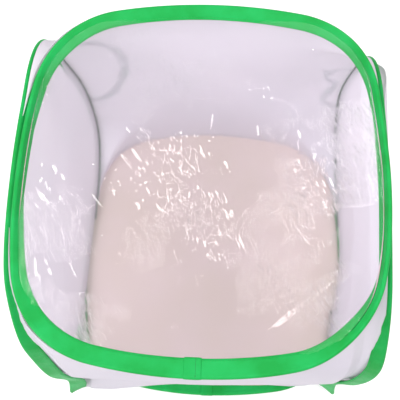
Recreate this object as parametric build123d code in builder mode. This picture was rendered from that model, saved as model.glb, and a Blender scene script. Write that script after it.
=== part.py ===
from build123d import *
from math import degrees, sqrt
import os

os.makedirs("parts", exist_ok=True)

# A pop-up rearing cage: four square faces, each held open by a spring-steel hoop inside
# a cloth binding, joined edge to edge into a tube. The clear window is on top, the two
# sides and the floor are cloth, and two cloth end panels without hoops close the tube.
# Millimetres, +Z up, the end seen first towards -Y, origin under the middle of the floor.

# Hoop-framed faces
face_size = 400.0  # outer edge to outer edge of a binding
side_radius = 600.0  # long bow of each hoop side
corner_radius = 108.0  # hoop corner, at the binding's outer edge
face_gap = 0.3  # running gap between two faces that fold on each other

# Binding, a tape folded round the hoop and the sheet's edge
binding_width = 15.0
binding_thickness = 6.0
binding_tape = 0.6
taper_start = 11.5  # from the outer edge to where the fold starts to close on the sheet
taper_length = 2.0
sheet_grip = 2.4  # how far the sheet reaches into the binding
lap_length = 16.0  # the tape's end laid over its start
lap_step = 0.5

# Sheets
cloth_thickness = 0.6
film_thickness = 0.4

# Hoops and the crimped sleeves that join their ends
hoop_depth = 3.6  # across the face's thickness
hoop_width = 1.0
hoop_inset = 3.5  # from the binding's outer edge to the strip's middle
hoop_end_gap = 1.0
sleeve_length = 28.0
sleeve_wall = 0.35
sleeve_gap = 0.1

# End panels
end_inset = 10.0  # from the bindings' outer edge to the cloth
end_corner_growth = 12.0  # the cloth cuts the corners by this much more than the hoops
hinge_half_length = 60.0  # the faces are sewn straight to each other this far each way
front_sag = 24.0  # the front cloth hangs inwards this far at its middle
sag_share = 0.82  # breadth of that dish over face size

# Strap loops at the rear corners
strap_width = 10.0
strap_thickness = 1.2
strap_reach = 80.0  # from the side's outer face inwards
strap_low = -50.0  # loop ends, measured from mid-height of the sides
strap_high = 100.0
strap_bend = 26.0

# Zip in the right side
zip_share = 0.57  # chain length over face size
zip_clearance = 4.3  # from the tape's top corner to the binding's lips
tooth_pitch = 3.0
tooth_neck = 1.1
tooth_head = 1.7
head_start = 0.15
head_end = 1.15
tooth_depth = 2.6
cord_inner = 2.4
cord_outer = 3.2
tape_width = 11.0
tape_thickness = 0.6
tape_tail = 12.0
tape_head = 20.0
slot_half_width = 6.5
slot_overrun = 8.0
stop_length = 2.6
stop_gap = 0.3
tape_edge_gap = 0.1

# Zip slider
slider_length = 11.0
slider_throat = 6.0  # from the tail to where the mouth opens
tail_half_width = 4.3
mouth_half_width = 5.6
slider_wall = 0.8
channel_clearance = 0.2
channel_side_gap = 0.3
tape_slot = 1.0
wedge_half_width = 1.5
wedge_tip = 6.6
wedge_shoulder = 8.8
wedge_mouth_half_width = 1.1
bridge_start = 2.0
bridge_end = 9.0
bridge_bar = 1.0
bridge_width = 2.0
bridge_window = 2.1

# Pull tab
pull_thickness = 1.0
pull_bar = 1.2
pull_bar_place = 4.0  # hinge bar's middle, from the slider's tail
pull_eye_half_width = 1.35
pull_eye_length = 4.4
pull_eye_end_radius = 2.9
pull_grip_radius = 3.6
pull_length = 21.0
pull_hole_radius = 1.4

# Places that follow from the sizes
half_face = face_size / 2
half_slab = binding_thickness / 2
side_base = binding_thickness + face_gap
side_middle = side_base + half_face
window_base = side_base + face_size + face_gap
side_inner = half_face - half_slab
bow_centre = side_radius - half_face
arc_gap = side_radius - corner_radius
corner_centre = (sqrt(2 * arc_gap**2 - bow_centre**2) - bow_centre) / 2
lip_radius = corner_radius - binding_width
end_corner_radius = corner_radius + end_corner_growth
sag_reach = sag_share * half_face
sag_radius = (sag_reach**2 + front_sag**2) / (2 * front_sag)
sag_centre = end_inset - half_face + front_sag - sag_radius
tooth_count = round(zip_share * face_size / tooth_pitch)
chain_length = tooth_count * tooth_pitch
chain_start = -chain_length / 2
chain_end = chain_length / 2
tape_start = chain_start - tape_tail
tape_end = chain_end + tape_head
lip_above_tape = corner_centre + sqrt(lip_radius**2 - (tape_end - corner_centre) ** 2)
zip_height = lip_above_tape - zip_clearance - tape_width - cord_outer


def edge_recess(along):
    """How far a bowed side has drawn back this far from its middle."""
    return side_radius - sqrt(side_radius**2 - along**2)


def quarter_turned(x, y, quarter):
    """A point of the outline's lowest side, turned to another side."""
    return [(x, y), (-y, x), (-x, -y), (y, -x)][quarter]


def draw_hoop_outline(inset):
    """The bowed square, drawn inside its outer edge, from the middle of its lowest side."""
    low = -(half_face - inset)
    reach = corner_radius - inset
    tangent_x = corner_centre + reach * corner_centre / arc_gap
    tangent_y = -(corner_centre + reach * (corner_centre + bow_centre) / arc_gap)
    diagonal = corner_centre + reach / sqrt(2)
    for quarter in range(4):
        ThreePointArc(
            quarter_turned(-tangent_x, tangent_y, quarter),
            quarter_turned(0, low, quarter),
            quarter_turned(tangent_x, tangent_y, quarter),
        )
        ThreePointArc(
            quarter_turned(tangent_x, tangent_y, quarter),
            quarter_turned(diagonal, -diagonal, quarter),
            quarter_turned(-tangent_y, -tangent_x, quarter),
        )


def section_plane(face_plane):
    """Across the lowest side of a face: local X runs outwards from the binding's edge."""
    edge_middle = face_plane.from_local_coords((0, -half_face, 0))
    return Plane(origin=edge_middle, x_dir=-face_plane.y_dir, z_dir=face_plane.x_dir)


def draw_binding_outside(sheet_thickness):
    """Round outside, flat faces, then tapering to the lips that hold the sheet."""
    lip = sheet_thickness / 2 + binding_tape
    taper_end = taper_start + taper_length
    ThreePointArc((-half_slab, half_slab), (0, 0), (-half_slab, -half_slab))
    Polyline(
        (-half_slab, -half_slab),
        (-taper_start, -half_slab),
        (-taper_end, -lip),
        (-binding_width, -lip),
        (-binding_width, lip),
        (-taper_end, lip),
        (-taper_start, half_slab),
        (-half_slab, half_slab),
    )


def draw_binding_inside(sheet_thickness):
    """The channel for the hoop and the slot for the sheet."""
    radius = half_slab - binding_tape
    slot_edge = sheet_thickness / 2
    channel_taper = taper_start - binding_tape / 2
    channel_end = taper_start + taper_length - binding_tape / 2
    open_end = binding_width + binding_tape
    ThreePointArc((-half_slab, radius), (radius - half_slab, 0), (-half_slab, -radius))
    Polyline(
        (-half_slab, -radius),
        (-channel_taper, -radius),
        (-channel_end, -slot_edge),
        (-open_end, -slot_edge),
        (-open_end, slot_edge),
        (-channel_end, slot_edge),
        (-channel_taper, radius),
        (-half_slab, radius),
    )


def draw_lap():
    """The outer edge again, one tape step further out, from the middle of the tape."""
    outer = lap_step - half_slab
    inner = -half_slab - binding_tape / 2
    ThreePointArc((outer, half_slab), (lap_step, 0), (outer, -half_slab))
    Line((outer, -half_slab), (inner, -half_slab))
    ThreePointArc((inner, -half_slab), (-binding_tape / 2, 0), (inner, half_slab))
    Line((inner, half_slab), (outer, half_slab))


def save(builder, name):
    builder.part.label = name
    export_step(builder.part, f"parts/{name}.step")


def make_binding(name, face_plane, sheet_thickness):
    across = section_plane(face_plane)
    with BuildPart() as binding:
        with BuildLine(face_plane) as path:
            draw_hoop_outline(0)
        with BuildSketch(across):
            with BuildLine():
                draw_binding_outside(sheet_thickness)
            make_face()
            with BuildLine():
                draw_binding_inside(sheet_thickness)
            make_face(mode=Mode.SUBTRACT)
        sweep(path=path.wire())
        with BuildSketch(across.offset(-lap_length / 2)):
            with BuildLine():
                draw_lap()
            make_face()
        extrude(amount=lap_length)
    save(binding, f"{name}_binding")


def make_hoop(name, face_plane):
    across = section_plane(face_plane)
    with BuildPart() as hoop:
        with BuildLine(face_plane) as path:
            draw_hoop_outline(hoop_inset)
        with BuildSketch(across):
            with Locations((-hoop_inset, 0)):
                Rectangle(hoop_width, hoop_depth)
        sweep(path=path.wire())
        with BuildSketch(across.offset(-hoop_end_gap / 2)):
            with Locations((-hoop_inset, 0)):
                Rectangle(3 * hoop_width, 2 * hoop_depth)
        extrude(amount=hoop_end_gap, mode=Mode.SUBTRACT)
    save(hoop, f"{name}_hoop")


def make_hoop_sleeve(name, face_plane):
    """The crimped sleeve over the two ends of a hoop, curved with it."""
    turn = degrees(sleeve_length / 2 / (side_radius - hoop_inset))
    inner_width = hoop_width + 2 * sleeve_gap
    inner_depth = hoop_depth + 2 * sleeve_gap
    with BuildPart() as sleeve:
        with BuildLine(face_plane) as path:
            CenterArc((0, bow_centre), side_radius - hoop_inset, 270 - turn, 2 * turn)
        start = path.line @ 0
        along = path.line % 0
        with BuildSketch(Plane(origin=start, x_dir=face_plane.z_dir, z_dir=along)):
            Rectangle(inner_depth + 2 * sleeve_wall, inner_width + 2 * sleeve_wall)
            Rectangle(inner_depth, inner_width, mode=Mode.SUBTRACT)
        sweep()
    save(sleeve, f"{name}_hoop_sleeve")


def make_sheet(name, face_plane, thickness, slot=False):
    with BuildPart() as sheet:
        with BuildSketch(face_plane):
            with BuildLine():
                draw_hoop_outline(binding_width - sheet_grip)
            make_face()
        extrude(amount=thickness / 2, both=True)
        if slot:
            with BuildSketch(zip_plane):
                with Locations(((slot_end - slot_start) / 2 + slot_start, 0)):
                    SlotOverall(slot_end - slot_start, 2 * slot_half_width)
            extrude(amount=thickness, both=True, mode=Mode.SUBTRACT)
    save(sheet, name)


def make_end_panel(name, end, dished=False):
    """One end of the tube: upright walls on the floor's outline and level walls on the
    sides' outline, so that the cloth meets the edges of all four bindings."""
    height = window_base - face_gap - side_base
    breadth = 2 * (side_inner - face_gap)
    with BuildPart() as panel:
        for depth, mode in ((0, Mode.ADD), (cloth_thickness, Mode.SUBTRACT)):
            size = face_size - 2 * (end_inset + depth)
            radius = end_corner_radius - depth
            with BuildPart(mode=mode):
                with BuildSketch(Plane.XY.offset(side_base)):
                    RectangleRounded(size, size, radius)
                extrude(amount=height)
                with BuildSketch(Plane.YZ.offset(-breadth / 2)):
                    with Locations((0, side_middle)):
                        RectangleRounded(size, size, radius)
                extrude(amount=breadth)
                if dished:
                    with Locations((0, sag_centre, side_middle)):
                        Sphere(sag_radius + depth, mode=Mode.SUBTRACT)
        split(bisect_by=Plane(origin=(0, end * hinge_half_length, 0), z_dir=(0, end, 0)))
    save(panel, name)


def make_strap(name, side):
    """A loop of flat tape on the rear corner, its ends sewn to the side's binding."""
    outer_x = side * (half_face + half_slab)
    height = strap_high - strap_low
    middle = side_middle + (strap_high + strap_low) / 2
    towards = (Align.MIN, Align.CENTER) if side < 0 else (Align.MAX, Align.CENTER)
    towards_middle = Axis.X if side < 0 else -Axis.X
    rear = Plane.XZ.offset(-(half_face + face_gap))
    with BuildPart() as strap:
        with BuildSketch(rear) as outside:
            with Locations((outer_x, middle)):
                Rectangle(strap_reach, height, align=towards)
            fillet(outside.vertices().sort_by(towards_middle)[-2:], strap_bend)
        extrude(amount=-strap_thickness)
        with BuildSketch(rear) as opening:
            with Locations((outer_x, middle)):
                Rectangle(strap_reach - strap_width, height - 2 * strap_width, align=towards)
            fillet(opening.vertices().sort_by(towards_middle)[-2:], strap_bend - strap_width)
        extrude(amount=-strap_thickness, mode=Mode.SUBTRACT)
        for end_height, nearest in (
            (strap_high - strap_width / 2, strap_high - strap_width),
            (strap_low + strap_width / 2, strap_low + strap_width),
        ):
            with BuildSketch(rear):
                with Locations((outer_x, side_middle + end_height)):
                    Rectangle(binding_thickness - face_gap, strap_width, align=towards)
            extrude(amount=edge_recess(nearest))
    save(strap, name)


floor_plane = Plane.XY.offset(half_slab)
window_plane = Plane.XY.offset(window_base + half_slab)
left_plane = Plane(origin=(-half_face, 0, side_middle), x_dir=(0, 0, -1), z_dir=(-1, 0, 0))
right_plane = Plane(origin=(half_face, 0, side_middle), x_dir=(0, 0, 1), z_dir=(1, 0, 0))

# The zip runs along Y on the outer face of the right side, and closes towards +Y.
zip_plane = Plane(
    origin=(half_face, 0, side_middle + zip_height), x_dir=(0, 1, 0), z_dir=(1, 0, 0)
)
chain_level = cloth_thickness / 2 + tape_thickness / 2
chain_plane = zip_plane.offset(chain_level)
slider_tail = chain_end - (slider_throat + channel_clearance)
top_stop_start = slider_tail + slider_length + stop_gap
slot_start = chain_start - stop_gap - stop_length - slot_overrun
slot_end = top_stop_start + stop_length + slot_overrun

for face_name, plane, sheet_thickness in (
    ("floor", floor_plane, cloth_thickness),
    ("window", window_plane, film_thickness),
    ("left", left_plane, cloth_thickness),
    ("right", right_plane, cloth_thickness),
):
    make_binding(face_name, plane, sheet_thickness)
    make_hoop(face_name, plane)
    make_hoop_sleeve(face_name, plane)

make_sheet("floor_panel", floor_plane, cloth_thickness)
make_sheet("window_film", window_plane, film_thickness)
make_sheet("left_panel", left_plane, cloth_thickness)
make_sheet("right_panel", right_plane, cloth_thickness, slot=True)
make_end_panel("front_panel", -1, dished=True)
make_end_panel("rear_panel", 1)
make_strap("left_strap", -1)
make_strap("right_strap", 1)


def make_teeth(name, side, phase):
    """Moulded teeth on one cord; each head fills the gap between two opposite necks."""
    neck = tooth_neck / 2
    head = tooth_head / 2
    edge = [(chain_end, side * cord_outer), (chain_start, side * cord_outer)]
    edge.append((chain_start, side * cord_inner))
    for tooth in range(tooth_count):
        place = chain_start + (tooth + phase) * tooth_pitch
        edge.append((place - neck, side * cord_inner))
        edge.append((place - neck, -side * head_start))
        edge.append((place - head, -side * head_start))
        edge.append((place - head, -side * head_end))
        edge.append((place + head, -side * head_end))
        edge.append((place + head, -side * head_start))
        edge.append((place + neck, -side * head_start))
        edge.append((place + neck, side * cord_inner))
    edge.append((chain_end, side * cord_inner))
    with BuildPart() as row:
        with BuildSketch(chain_plane):
            with BuildLine():
                Polyline(*edge, close=True)
            make_face()
        extrude(amount=tooth_depth / 2, both=True)
    save(row, name)


def make_zip_tape(name, side):
    middle = ((tape_start + tape_end) / 2, side * (cord_outer + tape_width / 2))
    with BuildPart() as tape:
        with BuildSketch(chain_plane):
            with Locations(middle):
                Rectangle(tape_end - tape_start, tape_width)
        extrude(amount=tape_thickness / 2, both=True)
    save(tape, name)


make_teeth("zip_teeth_upper", 1, 0.75)
make_teeth("zip_teeth_lower", -1, 0.25)
make_zip_tape("zip_tape_upper", 1)
make_zip_tape("zip_tape_lower", -1)

stop_half_width = cord_outer - tape_edge_gap
bottom_stop_middle = chain_start - stop_gap - stop_length / 2
top_stop_middle = top_stop_start + stop_length / 2
with BuildPart() as zip_end_stops:
    with BuildSketch(chain_plane):
        with Locations((bottom_stop_middle, 0)):
            Rectangle(stop_length, 2 * stop_half_width)
        for side in (-1, 1):
            with Locations((top_stop_middle, side * (stop_half_width + wedge_half_width) / 2)):
                Rectangle(stop_length, stop_half_width - wedge_half_width)
    extrude(amount=tooth_depth / 2, both=True)
save(zip_end_stops, "zip_end_stops")

# The slider: two plates joined by a wedge at the mouth, with rims that leave a slot for
# the tapes, and a bridge on the outside that holds the pull tab.
channel_depth = tooth_depth + 2 * channel_clearance
body_depth = channel_depth + 2 * slider_wall
channel_half_width = cord_outer + channel_side_gap
slider_plane = chain_plane.shift_origin(chain_plane.from_local_coords((slider_tail, 0, 0)))
bridge_plane = Plane(origin=slider_plane.origin, x_dir=(0, 1, 0), z_dir=(0, 0, -1))
plate_top = body_depth / 2
bridge_top = plate_top + bridge_window + bridge_bar
rim = tail_half_width - channel_half_width


def draw_wedge():
    Polyline(
        (wedge_tip, 0),
        (wedge_shoulder, wedge_half_width),
        (slider_length, wedge_mouth_half_width),
        (slider_length, -wedge_mouth_half_width),
        (wedge_shoulder, -wedge_half_width),
        (wedge_tip, 0),
    )


def draw_slider_plan(tail, mouth, start, end):
    Polyline(
        (start, -tail),
        (slider_throat, -tail),
        (end, -mouth),
        (end, mouth),
        (slider_throat, tail),
        (start, tail),
        (start, -tail),
    )


with BuildPart() as zip_slider:
    with BuildSketch(slider_plane) as slider_plan:
        with BuildLine():
            draw_slider_plan(tail_half_width, mouth_half_width, 0, slider_length)
        make_face()
        fillet(slider_plan.vertices(), rim)
    extrude(amount=body_depth / 2, both=True)
    with BuildSketch(slider_plane):
        with BuildLine():
            draw_slider_plan(channel_half_width, mouth_half_width - rim, -rim, slider_length)
        make_face()
        with BuildLine():
            draw_wedge()
        make_face(mode=Mode.SUBTRACT)
    extrude(amount=channel_depth / 2, both=True, mode=Mode.SUBTRACT)
    with BuildSketch(slider_plane):
        with Locations((slider_length / 2, 0)):
            Rectangle(2 * slider_length, 3 * mouth_half_width)
        with BuildLine():
            draw_wedge()
        make_face(mode=Mode.SUBTRACT)
    extrude(amount=tape_slot / 2, both=True, mode=Mode.SUBTRACT)
    with BuildSketch(bridge_plane) as bridge_profile:
        with BuildLine():
            Polyline(
                (bridge_start, plate_top - slider_wall / 2),
                (bridge_start, bridge_top),
                (bridge_end, bridge_top),
                (bridge_end, plate_top - slider_wall / 2),
                (bridge_start, plate_top - slider_wall / 2),
            )
        make_face()
        fillet(bridge_profile.vertices().group_by(Axis.X)[-1], bridge_bar)
        with Locations(((bridge_start + bridge_end) / 2, plate_top + bridge_window / 2)):
            Rectangle(bridge_end - bridge_start - 2 * bridge_bar, bridge_window, mode=Mode.SUBTRACT)
    extrude(amount=bridge_width / 2, both=True)
save(zip_slider, "zip_slider")

pull_level = plate_top + bridge_window / 2
pull_plane = slider_plane.offset(pull_level)
eye_front = pull_bar_place - pull_bar / 2
pull_tip = pull_bar_place + pull_bar / 2
grip_centre = pull_tip - pull_length + pull_grip_radius
with BuildPart() as zip_pull:
    with BuildSketch(pull_plane):
        with Locations((pull_tip - pull_eye_end_radius, 0)):
            Rectangle(2 * pull_eye_end_radius, 2 * pull_eye_end_radius)
        with Locations((grip_centre, 0)):
            Circle(pull_grip_radius)
        make_hull()
        with Locations((eye_front - pull_eye_length / 2, 0)):
            Rectangle(pull_eye_length, 2 * pull_eye_half_width, mode=Mode.SUBTRACT)
        with Locations((grip_centre, 0)):
            Circle(pull_hole_radius, mode=Mode.SUBTRACT)
    extrude(amount=pull_thickness / 2, both=True)
save(zip_pull, "zip_pull")
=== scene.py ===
import math

import bpy
import numpy as np
from mathutils import Matrix, Vector


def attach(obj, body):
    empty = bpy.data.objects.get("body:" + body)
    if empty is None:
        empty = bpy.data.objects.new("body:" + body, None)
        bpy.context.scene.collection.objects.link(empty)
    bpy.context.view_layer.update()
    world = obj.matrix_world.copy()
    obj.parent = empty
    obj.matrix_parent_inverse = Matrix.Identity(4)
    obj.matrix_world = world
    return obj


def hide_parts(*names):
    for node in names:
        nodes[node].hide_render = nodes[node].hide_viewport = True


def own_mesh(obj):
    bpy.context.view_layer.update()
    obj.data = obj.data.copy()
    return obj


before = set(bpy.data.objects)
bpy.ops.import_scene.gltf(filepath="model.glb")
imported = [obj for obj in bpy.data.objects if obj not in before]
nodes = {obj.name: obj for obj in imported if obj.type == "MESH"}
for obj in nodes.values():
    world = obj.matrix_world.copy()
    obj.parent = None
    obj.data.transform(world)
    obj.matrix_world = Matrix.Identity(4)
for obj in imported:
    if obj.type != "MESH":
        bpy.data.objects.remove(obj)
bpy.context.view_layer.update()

# %% [markdown]
# Every face has the same outline, a square with bowed sides and round corners. One
# function gives it by t, the share of the way round from the middle of its lowest side,
# so that a tape, a hoop, a seam and a sheet can all follow the same line. Sizes in this
# script are in millimetres until a mesh is made.
# %% The outline that all four faces share
MM = 0.001
HALF = 200.0
SIDE_RADIUS = 600.0
CORNER_RADIUS = 108.0
SIDE_BASE = 6.3
SIDE_MIDDLE = SIDE_BASE + HALF
WINDOW_LEVEL = 409.6
FLOOR_LEVEL = 3.0
HOOP_INSET = 3.5

bow_centre = SIDE_RADIUS - HALF
arc_gap = SIDE_RADIUS - CORNER_RADIUS
corner_centre = (math.sqrt(2 * arc_gap**2 - bow_centre**2) - bow_centre) / 2
side_turn = math.asin(corner_centre / arc_gap)
half_side = SIDE_RADIUS * side_turn
corner_length = CORNER_RADIUS * (math.pi / 2 - 2 * side_turn)
quarter_length = 2 * half_side + corner_length
perimeter = 4 * quarter_length


def outline(t):
    """Point and outward normal at the share t of the way round. A quarter is half of a
    long arc, a corner arc and half of the next long arc, turned by a right angle each time."""
    t = np.mod(np.asarray(t, float), 1.0)
    quarter = np.minimum(np.floor(4 * t), 3)
    s = (4 * t - quarter) * quarter_length
    first = s < half_side
    last = s >= half_side + corner_length
    angle = np.where(
        first,
        -math.pi / 2 + s / SIDE_RADIUS,
        np.where(
            last,
            -side_turn + (s - half_side - corner_length) / SIDE_RADIUS,
            -math.pi / 2 + side_turn + (s - half_side) / CORNER_RADIUS,
        ),
    )
    centre_x = np.where(first, 0, np.where(last, -bow_centre, corner_centre))
    centre_y = np.where(first, bow_centre, np.where(last, 0, -corner_centre))
    radius = np.where(first | last, SIDE_RADIUS, CORNER_RADIUS)
    normal = np.stack([np.cos(angle), np.sin(angle)], -1)
    point = np.stack([centre_x, centre_y], -1) + radius[..., None] * normal
    turn = quarter * math.pi / 2
    c, d = np.cos(turn), np.sin(turn)
    return tuple(np.stack([c * p[..., 0] - d * p[..., 1], d * p[..., 0] + c * p[..., 1]], -1)
                 for p in (point, normal))


def cubic(before, start, end, after, f):
    """Catmull and Rom's cubic at the share f of the way from start to end: it leaves each
    value in the direction from the value before it to the one after it."""
    return 0.5 * (
        2 * start + (end - before) * f + (2 * before - 5 * start + 4 * end - after) * f**2
        + (3 * start - before - 3 * end + after) * f**3
    )


def around(t, stations):
    """A smooth closed curve through values that are evenly spaced round a ring."""
    stations = np.asarray(stations, float)
    count = len(stations)
    place = np.mod(np.asarray(t, float), 1.0) * count
    k = np.floor(place).astype(int)
    f = (place - k).reshape(place.shape + (1,) * (stations.ndim - 1))
    return cubic(*(stations[(k + i) % count] for i in (-1, 0, 1, 2)), f)


print("Perimeter of one face:", round(perimeter), "mm")

# %% [markdown]
# A real pop-up cage is never as true as its drawing. Its hoops lean and bow where the
# cloth pulls them, and the tape round a hoop rolls over. Each ring gets a short table of
# sixteen stations: how far the hoop strays in x, y and z, how wide the tape lies, and how
# far it has rolled inwards from its own plane, in degrees.
# %% The four rings and how they stray
X, Y, Z = np.eye(3)
AXES = {
    "floor": ((0, 0, FLOOR_LEVEL), X, Y, -Z),
    "window": ((0, 0, WINDOW_LEVEL), X, Y, Z),
    "left": ((-HALF, 0, SIDE_MIDDLE), Y, Z, -X),
    "right": ((HALF, 0, SIDE_MIDDLE), Y, Z, X),
}
# Stations: floor and window start at the front middle and go to the right, then the
# rear; left and right start at the bottom middle and go to the rear, then the top.
STRAY = {
    "window": [
        (0, -8, 0), (0, -7, 0), (-2, -2, 0), (1, 0, 0), (-1, 0, 0), (-3, 2, 0), (0, 5, 0), (0, 6, 0),
        (0, 6, 0), (0, 5, 0), (2, 3, 0), (3, 0, 0), (3, 0, 0), (0, 0, 0), (-2, -4, 0), (0, -7, 0),
    ],
    "floor": [
        (0, 12, 0), (0, 12, 0), (0, 12, 0), (-3, 10, 0), (-4, 8, 0), (-4, 9, 0), (-2, 10, 0), (0, 12, 0),
        (0, 13, 0), (2, 12, 0), (6, 10, 0), (12, 9, 0), (16, 8, 0), (16, 9, 0), (12, 12, 0), (5, 12, 0),
    ],
    "left": [
        (20, 5, 0), (24, 5, 0), (27, 5, 0), (27, 3, 0), (23, 2, 0), (12, 4, 0), (5, 13, 7), (2, 6, 4),
        (-1, 0, 0), (0, -2, 0), (4, 16, -10), (14, 14, 0),
        (20, 9, 0), (28, 6, -6), (14, -25, -39), (18, -10, -4),
    ],
    "right": [
        (-4, 5, 0), (-6, 5, 0), (-12, 4, 0), (-20, 2, 0), (-24, 2, 0), (-17, 2, 0), (-10, 3, 0), (-7, 1, 0),
        (-4, 0, 0), (-3, 4, 0), (-1, 12, -6), (-2, 10, 0),
        (-11, 14, 0), (-26, 16, -8), (-17, -12, -39), (-18, -5, -2),
    ],
}
TAPE_WIDTH = {
    "window": [21, 20.5, 18.5, 14.5, 15, 15, 17, 19, 19, 19, 19, 16, 14, 16, 20, 20.5],
    "floor": [17] * 16,
    "left": [17, 16, 15, 14, 14, 15, 19, 20, 18, 17, 18, 20, 22, 23, 25, 24],
    "right": [17, 16, 15, 14, 14, 14, 16, 16, 15, 15, 16, 18, 20, 22, 24, 23],
}
ROLL = {
    "window": [0, 0, 18, 66, 60, 54, 30, 8, 0, 5, 25, 48, 60, 25, 0, 0],
    "floor": [0] * 16,
    "left": [0, 0, 0, 0, 0, 10, 35, 62, 80, 80, 75, 85, 90, 88, 50, 0],
    "right": [0, 0, 0, 0, 0, 10, 30, 45, 50, 60, 75, 85, 90, 85, 35, 0],
}


def ring(face, t, inset=HOOP_INSET):
    """Places on a strayed ring at this inset from its outer edge, with the direction
    inwards in its plane and the plane's normal, which points out of the cage."""
    origin, across, up, out = AXES[face]
    flat, normal = outline(t)
    flat = flat - inset * normal
    place = np.asarray(origin) + flat[..., :1] * across + flat[..., 1:] * up
    inward = -(normal[..., :1] * across + normal[..., 1:] * up)
    return place + around(t, STRAY[face]), inward, np.broadcast_to(out, inward.shape)


print("Furthest stray:", max(max(map(abs, s)) for table in STRAY.values() for s in table), "mm")

# %% [markdown]
# All new pieces are grids: points worked out as whole arrays, and faces that join
# neighbours. One helper turns any grid into a mesh. It closes the grid on itself where it
# is asked to, and writes a UV map in metres, so that a weave has its true scale.
# %% Grid to mesh
def grid_faces(rows, columns, wrap_rows, wrap_columns):
    """Corner numbers of the quads between neighbouring rows and columns."""
    i = np.arange(rows if wrap_rows else rows - 1)
    j = np.arange(columns if wrap_columns else columns - 1)
    i, j = (g.ravel() for g in np.meshgrid(i, j, indexing="ij"))
    i2, j2 = (i + 1) % rows, (j + 1) % columns
    return np.stack([i * columns + j, i2 * columns + j, i2 * columns + j2, i * columns + j2], 1)


def add_object(name, data):
    """A new object in the scene that holds this data."""
    made = bpy.data.objects.new(name, data)
    bpy.context.scene.collection.objects.link(made)
    return made


def mesh_object(name, points, faces, uv=None):
    """A new object from points in mm and faces; uv gives each face corner its place."""
    mesh = bpy.data.meshes.new(name)
    mesh.from_pydata((np.asarray(points) * MM).tolist(), [], [list(map(int, f)) for f in faces])
    if uv is not None:
        layer = mesh.uv_layers.new(name="UVMap")
        layer.data.foreach_set("uv", (np.asarray(uv) * MM).astype(np.float32).ravel())
    mesh.polygons.foreach_set("use_smooth", [True] * len(mesh.polygons))
    mesh.update()
    return add_object(name, mesh)


def grid_object(name, points, wrap_rows=False, wrap_columns=False, caps=False, flip=False):
    """An object from points[row, column]. The UV map runs by the rows' and columns'
    lengths, measured along the middle of the grid; caps close the first and last rows."""
    rows, columns = points.shape[:2]
    faces = grid_faces(rows, columns, wrap_rows, wrap_columns)
    along = np.linalg.norm(np.roll(points, -1, 0) - points, axis=-1).mean(1)
    across = np.linalg.norm(np.roll(points, -1, 1) - points, axis=-1).mean(0)
    u = np.concatenate([[0], np.cumsum(along)])
    v = np.concatenate([[0], np.cumsum(across)])
    i, j = faces[:, 0] // columns, faces[:, 0] % columns
    corners = (0, 0), (1, 0), (1, 1), (0, 1)
    uv = np.stack([np.stack([u[i + a], v[j + b]], 1) for a, b in corners], 1)
    if flip:
        faces, uv = faces[:, ::-1], uv[:, ::-1]
    faces, uv = faces.tolist(), uv.reshape(-1, 2)
    if caps:
        first, end = list(range(columns)), list(range((rows - 1) * columns, rows * columns))
        faces += [end, first[::-1]] if flip else [first, end[::-1]]
        rim = np.stack([v[:columns], v[:columns]], 1)
        uv = np.concatenate([uv, rim, rim])
    return mesh_object(name, points.reshape(-1, 3), faces, uv)


def swept(name, centre, along_a, along_b, section, closed=True, flip=False):
    """A section carried along a path: point = centre + a * first axis + b * second axis.
    The section is one closed loop of (a, b) for each step of the path."""
    points = (centre[:, None] + section[..., :1] * along_a[:, None]
              + section[..., 1:] * along_b[:, None])
    return grid_object(name, points, wrap_rows=closed, wrap_columns=True,
                       caps=not closed, flip=flip)


def ripple(t, waves, seed, low=3, high=40):
    """A closed, repeatable wobble round a ring: a sum of sines with seeded phases that
    get weaker as they get shorter."""
    rng = np.random.default_rng(seed)
    cycles = rng.integers(low, high, waves)
    phase = rng.uniform(0, 2 * math.pi, waves)
    weight = 1 / np.sqrt(cycles)
    total = (weight * np.sin(2 * math.pi * np.multiply.outer(t, cycles) + phase)).sum(-1)
    return total / weight.sum()


def unit(vectors):
    """The same directions with a length of one."""
    return vectors / np.linalg.norm(vectors, axis=-1, keepdims=True)


def squarish(wave, power):
    """A sine or cosine with steeper flanks: its sign times its size to the power. Two of
    them draw an ellipse that bulges towards a box."""
    return np.sign(wave) * np.abs(wave) ** power


# %% [markdown]
# The binding is a tape folded lengthwise round the hoop, with its two edges stitched to
# the cloth. Its section is a drop: round over the hoop, then two faces that close on the
# sheet. Puckers run across it, stronger in the corners, where a flat tape has to gather.
# %% Green bindings
STEPS = 560
HOOP_ROOM, LIP = 2.7, 0.95  # half the fold's thickness over the hoop and at the sheet
CLOSED_AT, CLOSING = 0.8, 0.8  # where the fold has closed on the sheet, and how fast
EDGE_ROUND = 0.35
FLIPPED = ("floor", "right")


def rolled(face, t):
    """The tape's own axes: from the hoop to its stitched edge, and square to that."""
    place, inward, out = ring(face, t)
    angle = np.radians(around(t, ROLL[face]))[:, None]
    return (place, np.cos(angle) * inward - np.sin(angle) * out,
            np.cos(angle) * out + np.sin(angle) * inward)


def half_thick(share):
    """Half the fold's thickness at a share of the way from the hoop to the stitched edge."""
    return HOOP_ROOM + (LIP - HOOP_ROOM) * np.minimum(1, share / CLOSED_AT) ** CLOSING


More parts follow.
